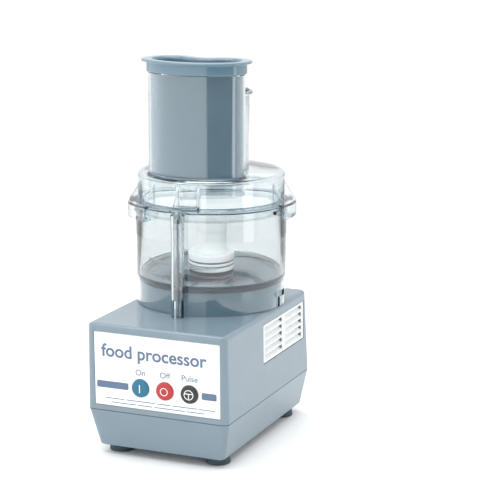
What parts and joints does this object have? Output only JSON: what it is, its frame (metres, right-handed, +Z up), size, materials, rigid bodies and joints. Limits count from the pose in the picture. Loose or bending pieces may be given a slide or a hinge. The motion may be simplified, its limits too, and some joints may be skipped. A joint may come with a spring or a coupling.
{
  "type": "food processor",
  "caption": "Bench-top food processor with a boxy motor base, clear bowl, S-shaped blade and a clear lid with a wide hopper, feed tube and pushers.",
  "frame": {"origin": "on the surface the feet stand on, at the middle of the footprint", "axes": "+Z up, -Y the front with the buttons, +X the right side"},
  "size_m": [0.2185, 0.2967, 0.495],
  "materials": {
    "housing_plastic": "gloss",
    "white_plastic": "gloss",
    "vent_plastic": "satin",
    "clear_plastic": "gloss, transparent",
    "dark_rubber": "matt",
    "black_rubber": "matt",
    "dark_plastic": "matt",
    "teal_plastic": "gloss",
    "red_plastic": "gloss",
    "slate_plastic": "gloss",
    "steel": "polished",
    "laminated_steel": "stamped",
    "cast_aluminium": "cast",
    "circuit_board": "satin"
  },
  "bodies": {
    "base": {"upper_housing": "housing_plastic", "lower_base": "housing_plastic", "front_label": "white_plastic", "vent_grille_right": "vent_plastic", "vent_grille_left": "vent_plastic", "cord_gland": "dark_plastic", "foot_front_left": "dark_rubber", "foot_screw_front_left": "steel", "foot_front_right": "dark_rubber", "foot_screw_front_right": "steel", "foot_rear_left": "dark_rubber", "foot_screw_rear_left": "steel", "foot_rear_right": "dark_rubber", "foot_screw_rear_right": "steel", "on_switch": "dark_plastic", "off_switch": "dark_plastic", "pulse_switch": "dark_plastic", "switch_bracket": "steel", "capacitor": "cast_aluminium", "control_board": "circuit_board", "safety_switch": "dark_plastic", "motor_stator": "laminated_steel", "motor_top_bell": "cast_aluminium", "motor_bottom_bell": "cast_aluminium", "upper_bearing": "steel", "lower_bearing": "steel", "motor_screw_1": "steel", "motor_screw_2": "steel", "motor_screw_3": "steel", "motor_screw_4": "steel", "bowl_seat": "housing_plastic", "bayonet_pin_right": "housing_plastic", "bayonet_pin_left": "housing_plastic", "shaft_seal": "black_rubber"},
    "drive": {"motor_rotor": "laminated_steel", "motor_shaft": "steel", "motor_fan": "dark_plastic"},
    "gasket": {"bowl_gasket": "black_rubber"},
    "bowl": {"bowl": "clear_plastic", "rod_spring": "steel"},
    "rod": {"safety_rod": "steel"},
    "blade": {"blade_hub": "white_plastic", "blade_cap": "white_plastic", "blade_sleeve": "steel", "blade_wear_ring": "dark_plastic", "lower_knife": "steel", "upper_knife": "steel"},
    "seal": {"lid_seal": "black_rubber"},
    "lid": {"lid": "clear_plastic"},
    "large_pusher": {"large_pusher": "housing_plastic"},
    "small_pusher": {"small_pusher": "clear_plastic"},
    "on_button": {"on_button": "teal_plastic"},
    "off_button": {"off_button": "red_plastic"},
    "pulse_button": {"pulse_button": "slate_plastic"}
  },
  "joints": [
    {"name": "drive_spin", "type": "hinge", "parent": "base", "child": "drive", "pos_m": [0, 0.025, 0.1], "axis": [0, 0, 1], "continuous": true},
    {"name": "bowl_lift", "type": "slide", "parent": "base", "child": "gasket", "axis": [0, 0, 1], "range_m": [0, 0.16]},
    {"name": "bowl_turn", "type": "hinge", "parent": "gasket", "child": "bowl", "pos_m": [0, 0.025, 0.2], "axis": [0, 0, -1], "range_deg": [0, 10]},
    {"name": "blade_spin", "type": "hinge", "parent": "bowl", "child": "blade", "pos_m": [0, 0.025, 0.2], "axis": [0, 0, 1], "continuous": true},
    {"name": "lid_lift", "type": "slide", "parent": "bowl", "child": "seal", "axis": [0, 0, 1], "range_m": [0, 0.16]},
    {"name": "lid_turn", "type": "hinge", "parent": "seal", "child": "lid", "pos_m": [0, 0.025, 0.2], "axis": [0, 0, -1], "range_deg": [0, 12]},
    {"name": "rod_press", "type": "slide", "parent": "bowl", "child": "rod", "axis": [0, 0, -1], "range_m": [0, 0.0041], "deforming": ["rod_spring"]},
    {"name": "large_pusher_slide", "type": "slide", "parent": "lid", "child": "large_pusher", "axis": [0, 0, 1], "range_m": [0, 0.14]},
    {"name": "small_pusher_slide", "type": "slide", "parent": "lid", "child": "small_pusher", "axis": [0, 0, 1], "range_m": [0, 0.12]},
    {"name": "on_press", "type": "slide", "parent": "base", "child": "on_button", "axis": [0, 0.9996, 0.0268], "range_m": [0, 0.0025], "stiffness_N_per_m": 800},
    {"name": "off_press", "type": "slide", "parent": "base", "child": "off_button", "axis": [0, 0.9996, 0.0268], "range_m": [0, 0.0025], "stiffness_N_per_m": 800},
    {"name": "pulse_press", "type": "slide", "parent": "base", "child": "pulse_button", "axis": [0, 0.9996, 0.0268], "range_m": [0, 0.0025], "stiffness_N_per_m": 800}
  ],
  "couplings": [
    {"joint": "blade_spin", "follows": "drive_spin", "ratio": 1},
    {"joint": "rod_press", "follows": "lid_turn", "m_per_rad": 0.019099}
  ]
}
